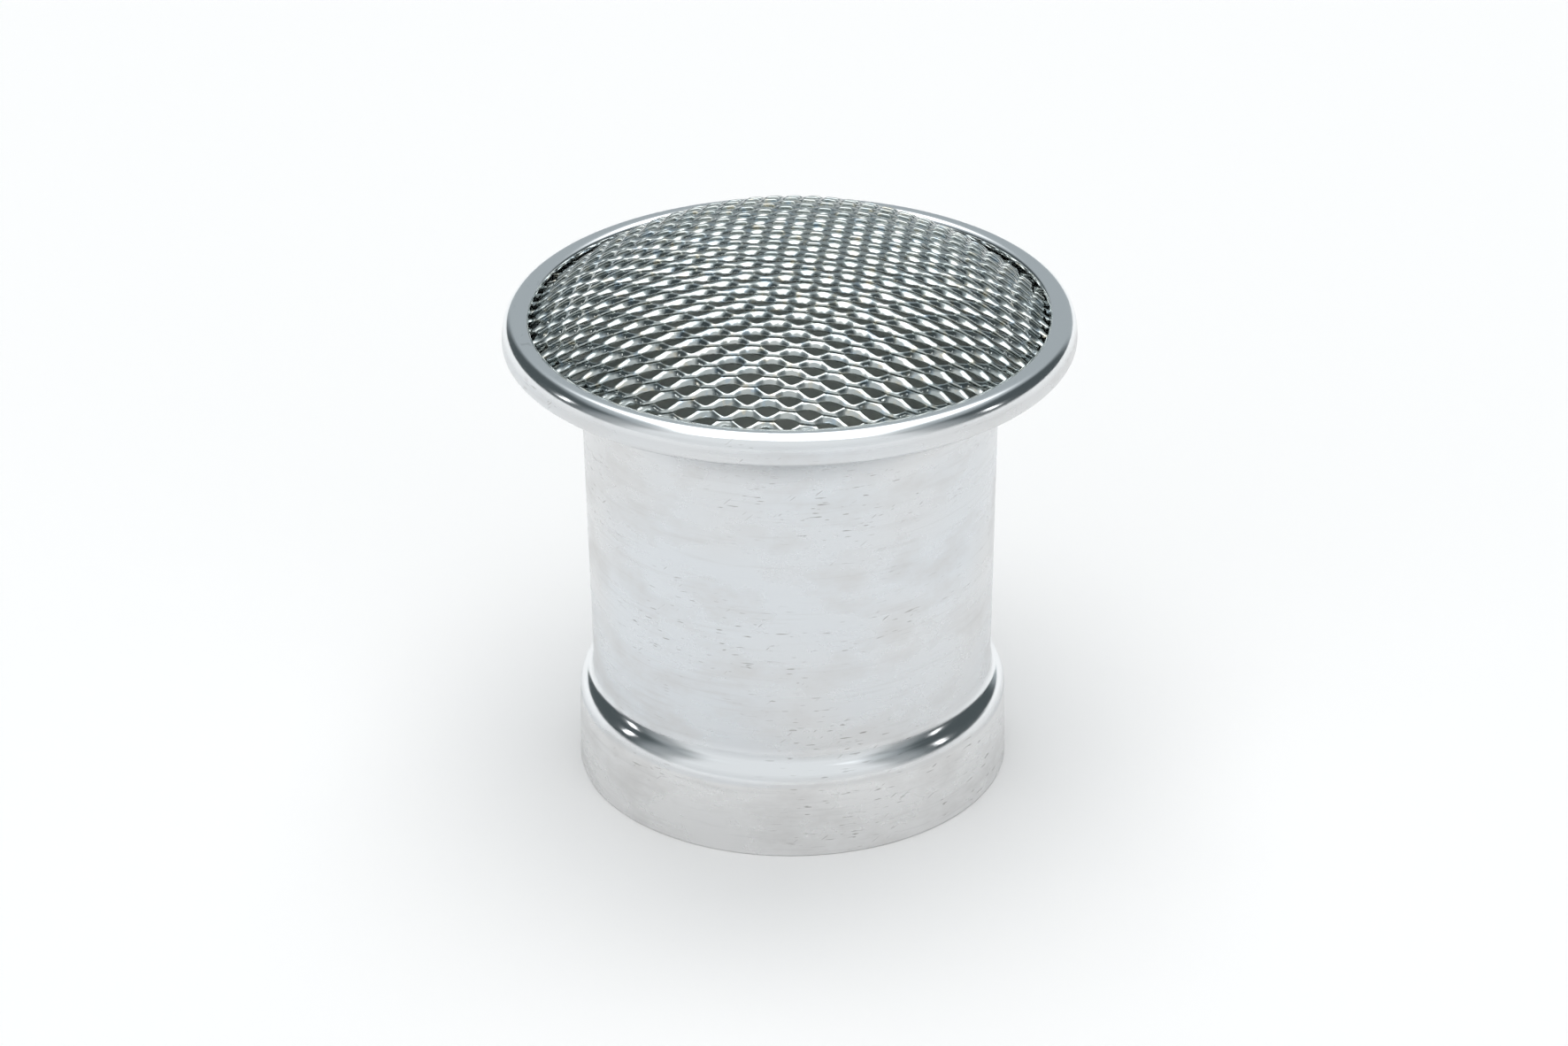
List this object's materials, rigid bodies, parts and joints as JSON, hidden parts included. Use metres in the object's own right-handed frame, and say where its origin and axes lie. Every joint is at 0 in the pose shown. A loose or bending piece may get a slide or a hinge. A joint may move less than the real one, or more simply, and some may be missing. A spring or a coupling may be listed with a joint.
{
  "type": "intake funnel",
  "caption": "Spun metal intake funnel with a socket collar at its foot, a plain tube, a bell mouth with a rolled rim, and a domed mesh screen held under the rim.",
  "frame": {"origin": "centre of the foot of the socket collar", "axes": "+Z along the funnel's axis, from the socket to the mesh screen; the long pitch of the mesh runs along X"},
  "size_m": [0.0812, 0.0812, 0.0821],
  "materials": {
    "aluminium": "spun and polished, fine rings, light scratches",
    "zinc_mesh": "bright zinc plated"
  },
  "bodies": {
    "root": {"funnel_body": "aluminium", "mesh_screen": "zinc_mesh"}
  },
  "joints": []
}
